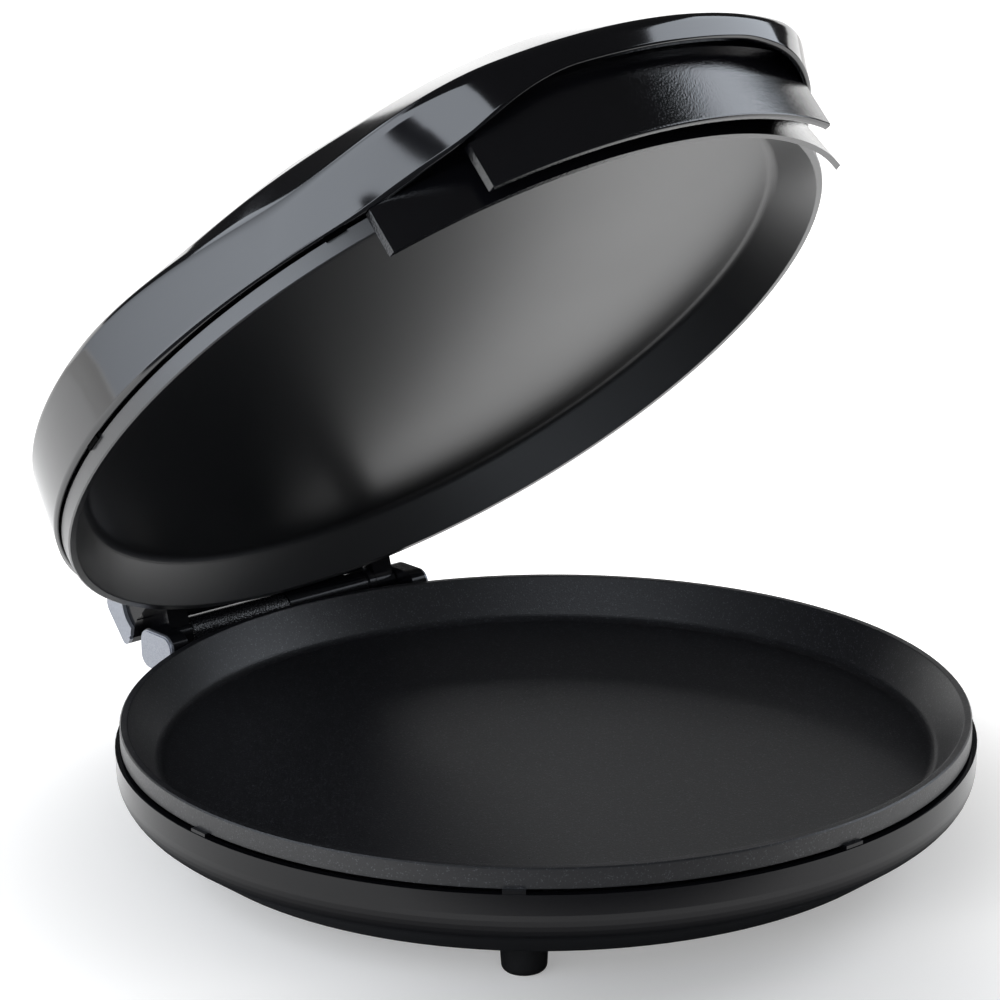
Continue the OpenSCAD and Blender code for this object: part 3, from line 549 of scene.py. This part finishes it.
def bend(a, b, c, cut, count):
    """A quadratic curve round the corner b of a-b-c that starts and ends at cut from b."""
    ways = [(p - b) / np.linalg.norm(p - b, axis=0) for p in (a, c)]
    start, end = (b + cut * way for way in ways)
    s = np.linspace(0, 1, count).reshape(-1, 1, 1)
    return start * (1 - s) ** 2 + b * 2 * s * (1 - s) + end * s ** 2


def cover_sheet(angle, t):
    """The section at each angle from the front, as radius and height, t inside the outer face.

    Four corners (edge, shoulder, ramp, start of the dome) move out and up by their own share
    of the hood. Curves round the corners join them, and the dome is a parabola to the pole."""
    edge = weight(angle, 18, 43)
    arch = weight(angle, 12, 30)
    brow = weight(angle, 21, 55)
    drop = weight(angle, 38, 85)
    ramp = weight(angle, 5, 50)
    rise = weight(angle, 8, 67)
    lift = weight(angle, 37, 80)
    none = np.zeros_like(angle)
    p0 = np.stack([cover_r + 0.0225 * edge - t, 0.0077 + 0.0092 * arch])
    p1 = np.stack([cover_r - 0.004 + 0.028 * brow - t, 0.0383 - 0.012 * drop - 0.8 * t])
    p2 = np.stack([cover_r - 0.0118 + 0.011 * ramp - 0.3 * t, lid_h - 0.0148 + 0.0057 * rise - t])
    p3 = np.stack([none + 0.14, lid_h - 0.0131 + 0.0062 * lift - t])
    f = np.linspace(1, 0, 26).reshape(-1, 1, 1)
    dome = np.concatenate([p3[0] * f, lid_h - t - (lid_h - t - p3[1]) * f * f], axis=1)
    return np.concatenate([
        np.stack([p0 + (p1 - p0) * s for s in np.linspace(0, 0.6, 8)]),
        bend(p0, p1, p2, 0.0035 - 0.0005 * brow, 12),
        bend(p1, p2, p3, 0.003 + 0.004 * brow, 12),
        dome,
    ])


def closed_shell(name, points):
    """A closed mesh of a grid whose rows are rings, with a pole at each end of the rows.

    The rings run round towards +X from the front, from the outer pole to the inner one. Points
    that fall together at the poles are merged."""
    rows, columns = points.shape[1:]
    index = np.arange(rows * columns).reshape(rows, columns)
    index = np.concatenate([index, index[:, :1]], axis=1)
    faces = np.stack([index[:-1, :-1], index[1:, :-1], index[1:, 1:], index[:-1, 1:]], axis=-1)
    mesh = bpy.data.meshes.new(name)
    mesh.from_pydata(points.reshape(3, -1).T, [], faces.reshape(-1, 4).tolist())
    form = bmesh.new()
    form.from_mesh(mesh)
    bmesh.ops.remove_doubles(form, verts=form.verts, dist=1e-7)
    form.to_mesh(mesh)
    form.free()
    return mesh


around = np.radians(np.arange(0, 360, 1.0))
signed = np.degrees((around + math.pi) % (2 * math.pi) - math.pi)
section = np.concatenate([cover_sheet(signed, 0)[::-1], cover_sheet(signed, cover_t)])
ring = np.stack([
    section[:, 0] * np.sin(around),
    -section[:, 0] * np.cos(around),
    section[:, 1],
])
cover_mesh = closed_shell("lid_cover_shell", opened(ring))
gloss_black, tree, place = start("gloss_black")
peel = lumps(place, 240)
grain = lumps(place, 2300)
drift = lumps(place, 20)
surface(tree, {
    "Base Color": blend(drift, (0.0015, 0.0015, 0.002), (0.0035, 0.0035, 0.0045)),
    "Roughness": 0.05 + 0.05 * drift + 0.03 * grain,
    "Specular IOR Level": 1,
    "Normal": relief(0.6 * peel + 0.4 * grain, 6e-6),
})
cover_mesh.materials.append(gloss_black)
cover_mesh.shade_smooth()
lid_cover = add("lid_cover_shell", cover_mesh)
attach(lid_cover, "lid")
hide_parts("lid_cover")

# Lead flap
# A thin curved flap of satin black plastic under the rear edge of the cover. It bridges from
# the cover to the tubes of the wire guard and lies round them with a little play.
def carried(section, across):
    """A closed bar: a ring of points in y and z for each x, joined across and capped.

    The section holds the front face's points and then the back face's, both from the cover
    to the free edge."""
    rows, columns = section.shape[2], len(across)
    ring = np.concatenate([section[0], section[1][:, ::-1]], axis=1)
    count = 2 * rows
    x = np.broadcast_to(across, (count, columns))
    points = np.stack([x, ring[0], ring[1]])
    index = np.arange(count * columns).reshape(count, columns)
    turned = np.roll(index, -1, axis=0)
    sides = np.stack([index[:, :-1], turned[:, :-1], turned[:, 1:], index[:, 1:]], axis=-1)
    caps = []
    for column, order in ((0, -1), (-1, 1)):
        front, rear = index[:rows, column], index[rows:, column][::-1]
        caps += np.stack([front[:-1], front[1:], rear[1:], rear[:-1]], axis=1)[:, ::order].tolist()
    return points, sides.reshape(-1, 4).tolist() + caps


def solid_mesh(name, points, faces):
    """A mesh of closed solids, with all its faces turned outwards."""
    mesh = bpy.data.meshes.new(name)
    mesh.from_pydata(points.reshape(3, -1).T, [], faces)
    form = bmesh.new()
    form.from_mesh(mesh)
    bmesh.ops.recalc_face_normals(form, faces=form.faces)
    form.to_mesh(mesh)
    form.free()
    return mesh


flap_half_w = 0.0462
flap_r = 0.0063
flap_t = 0.0014
flap_root_h = 0.0122
flap_root_in = 0.0018
flap_turns = (112, 74)
across = np.linspace(-flap_half_w, flap_half_w, 49)
turn = np.radians(np.linspace(*flap_turns, 14)).reshape(-1, 1) + 0 * across
flap_faces = []
for out in (0, flap_t):
    root_y = np.sqrt((cover_r - flap_root_in + 0.8 * out) ** 2 - across ** 2)
    root = np.stack([root_y, np.full_like(root_y, hinge_z + flap_root_h + out)])[:, None]
    free = np.stack([
        hinge_y + (flap_r + out) * np.cos(turn),
        hinge_z + (flap_r + out) * np.sin(turn),
    ])
    flap_faces.append(np.concatenate([root, free], axis=1))
points, faces = carried(np.stack(flap_faces), across)
points[2] -= rim_z
flap_mesh = solid_mesh("lead_flap", opened(points), faces)
flap_mesh.materials.append(satin_black)
lead_flap = add("lead_flap", flap_mesh)
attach(lead_flap, "lid")

# Grip lip, finger guard and lid brackets
# The curved plate under the hood that the fingers pull on, and the inner plate that carries
# on the cover's wall behind it. Gloss black like the cover, but from a coarser mould, so that
# what they reflect looks grainy. The two hinge arms are satin.
grained_black, tree, place = start("grained_black")
grain = lumps(place, 1300, 3.0)
drift = lumps(place, 26)
surface(tree, {
    "Base Color": blend(drift, (0.0015, 0.0015, 0.002), (0.004, 0.004, 0.005)),
    "Roughness": 0.06 + 0.05 * drift + 0.05 * grain,
    "Specular IOR Level": 1,
    "Normal": relief(grain, 9e-5),
})
dress(grained_black, "grip_lip", "finger_guard")
dress(satin_black, "lid_bracket_left", "lid_bracket_right")

# Grip end faces
# The lip and the guard are cut off at a slant at both ends, from their inner face outwards.
# These wedges, of the same black, carry that slanted cut.
def end_wedges(half_turn, slant, thick, heights, radii):
    """Two wedges, one at each end of an arc of half_turn degrees either side of the front.

    In plan each is a triangle: the ends of the outer and inner faces, drawn back by tuck, and
    the inner face's end moved on by slant. It runs between two heights, where the inner face
    has two radii. The points lie in the order side, height, corner."""
    tuck = 0.0002
    inner = np.reshape(radii, (1, 2, 1))
    radius = inner + thick * np.array([1, 0, 0])
    further = np.array([-tuck, -tuck, slant])
    side = np.reshape([-1, 1], (2, 1, 1))
    angle = side * (math.radians(half_turn) + further / inner)
    h = np.broadcast_to(np.reshape(heights, (1, 2, 1)), angle.shape)
    return np.stack([radius * np.sin(angle), -radius * np.cos(angle), h]).reshape(3, -1)


lip_half_turn, guard_half_turn = 27, 40
lip_t, guard_t = 0.003, 0.0023
lip_slant, guard_slant = 0.0015, 0.002
wedge_points = np.concatenate([
    end_wedges(lip_half_turn, lip_slant, lip_t, (-0.0105, 0.0073), (0.1725, 0.1725)),
    end_wedges(guard_half_turn, guard_slant, guard_t, (-0.0114, 0.0072), (0.1631, 0.1607)),
], axis=1)
wedge_faces = [
    [first + corner for corner in face]
    for first in (0, 6, 12, 18)
    for face in ((0, 1, 2), (5, 4, 3), (0, 3, 4, 1), (1, 4, 5, 2), (2, 5, 3, 0))
]
wedge_mesh = solid_mesh("grip_end_faces", opened(wedge_points), wedge_faces)
wedge_mesh.materials.append(grained_black)
grip_ends = add("grip_end_faces", wedge_mesh)
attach(grip_ends, "lid")

# Upper baking plate
# The pan of the lid, cast like the lower one, with a smoother and darker non-stick coat. The tabs
# that stand out past its band are painted near black and matt, a painted shade for the gap they sit
# in.
upper_band_r = 0.1602
coat_edge = 0.0002
lid_axis = (0, math.sin(lid_open), math.cos(lid_open))
rim_middle = tuple(opened(np.zeros((3, 1)))[:, 0])
nonstick_upper, tree, place = start("nonstick_upper")
spray = lumps(place, 1700)
drift = lumps(place, 14)
from_axis = vector_maths("CROSS_PRODUCT", vector_maths("SUBTRACT", place, rim_middle), lid_axis)
# Painted shade on the tabs past the band: near black, rough and without the coat.
tab_painted_shade = fade(vector_maths("LENGTH", from_axis), upper_band_r, upper_band_r + coat_edge)
coat = blend(spray, (0.002, 0.002, 0.0025), (0.006, 0.006, 0.007))
surface(tree, {
    "Base Color": blend(tab_painted_shade, coat, (0.001, 0.001, 0.001)),
    "Roughness": (0.31 + 0.07 * drift + 0.06 * spray) * (1 - tab_painted_shade) + 0.8 * tab_painted_shade,
    "Metallic": tab_painted_shade,
    "Specular IOR Level": 0.9,
    "Coat Weight": 0.6 * (1 - tab_painted_shade),
    "Coat Roughness": 0.32,
    "Normal": relief(spray, 1.2e-5),
})
dress(nonstick_upper, "upper_baking_plate")

# Lamp lenses
# Two small domed windows in the top of the lid, red for power and green for ready, moulded
# in clear tinted plastic over a frosted back.
for name, pale, deep in (
    ("power_lamp_lens", (0.62, 0.03, 0.025), (0.4, 0.01, 0.01)),
    ("ready_lamp_lens", (0.06, 0.5, 0.12), (0.02, 0.3, 0.06)),
):
    lens, tree, place = start(name)
    frost = lumps(place, 1300)
    surface(tree, {
        "Base Color": blend(frost, pale, deep),
        "Roughness": 0.08 + 0.12 * frost,
        "Transmission Weight": 0.5,
        "Normal": relief(frost, 8e-6),
    })
    dress(lens, name)
